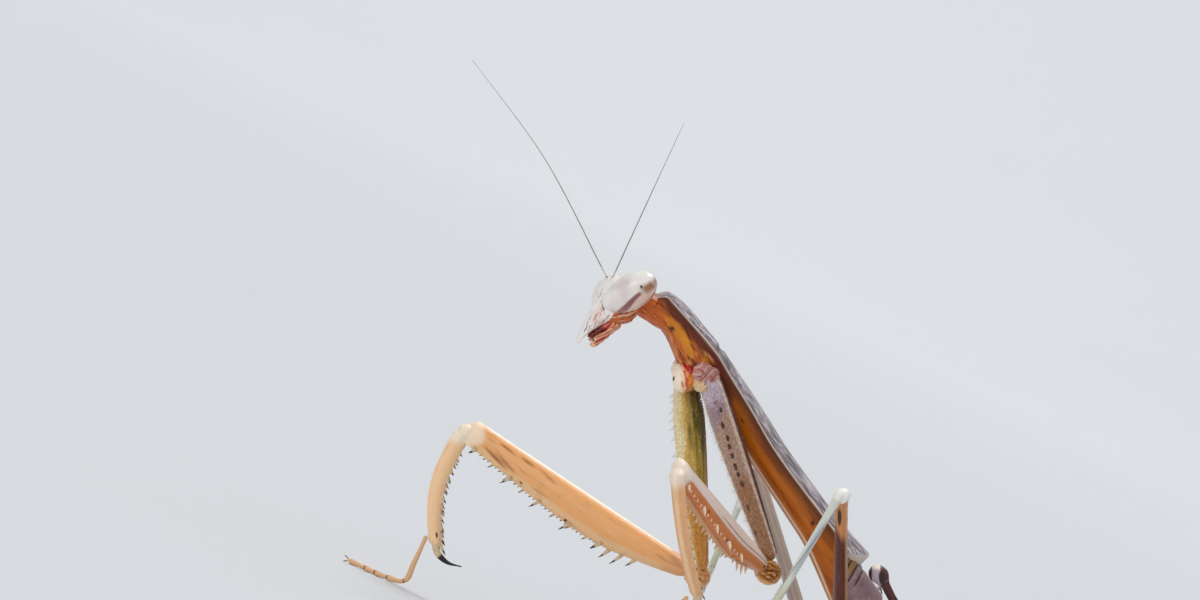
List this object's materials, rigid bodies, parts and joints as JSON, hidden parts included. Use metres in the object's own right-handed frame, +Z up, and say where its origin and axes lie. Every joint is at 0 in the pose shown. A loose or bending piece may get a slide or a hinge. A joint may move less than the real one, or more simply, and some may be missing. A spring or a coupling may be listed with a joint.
{
  "type": "praying mantis",
  "caption": "Life-size praying mantis standing on its walking legs, chest raised, one grasping foreleg stretched out ahead and the other folded, wings closed over the back.",
  "frame": {"origin": "centre of the bounding box, on the floor that the feet stand on", "axes": "+X towards the animal's left, -Y the way it faces, +Z up"},
  "size_m": [0.0614, 0.1026, 0.043],
  "materials": {
    "head": "satin",
    "eye": "polished",
    "mouth": "satin",
    "antenna": "matte",
    "neck": "satin",
    "shield": "satin",
    "thorax": "satin",
    "foreleg": "satin",
    "leg": "satin",
    "abdomen": "satin",
    "wing": "satin"
  },
  "bodies": {
    "root": {"head": "head", "left_eye": "eye", "right_eye": "eye", "mouthparts": "mouth", "left_antenna": "antenna", "right_antenna": "antenna", "neck": "neck", "pronotum_front": "shield", "pronotum_rear": "shield", "mesothorax": "thorax", "metathorax": "thorax", "abdomen_1": "abdomen", "abdomen_2": "abdomen", "abdomen_3": "abdomen", "abdomen_4": "abdomen", "abdomen_5": "abdomen", "abdomen_6": "abdomen", "left_cercus": "abdomen", "left_hind_wing": "wing", "left_fore_wing": "wing", "right_cercus": "abdomen", "right_hind_wing": "wing", "right_fore_wing": "wing", "left_fore_coxa": "foreleg", "left_fore_trochanter": "foreleg", "left_fore_femur": "foreleg", "left_fore_tibia": "foreleg", "left_fore_tarsus": "foreleg", "left_mid_coxa": "leg", "left_mid_femur": "leg", "left_mid_tibia": "leg", "left_mid_tarsus": "leg", "left_hind_coxa": "leg", "left_hind_femur": "leg", "left_hind_tibia": "leg", "left_hind_tarsus": "leg", "right_fore_coxa": "foreleg", "right_fore_trochanter": "foreleg", "right_fore_femur": "foreleg", "right_fore_tibia": "foreleg", "right_fore_tarsus": "foreleg", "right_mid_coxa": "leg", "right_mid_femur": "leg", "right_mid_tibia": "leg", "right_mid_tarsus": "leg", "right_hind_coxa": "leg", "right_hind_femur": "leg", "right_hind_tibia": "leg", "right_hind_tarsus": "leg"}
  },
  "joints": []
}
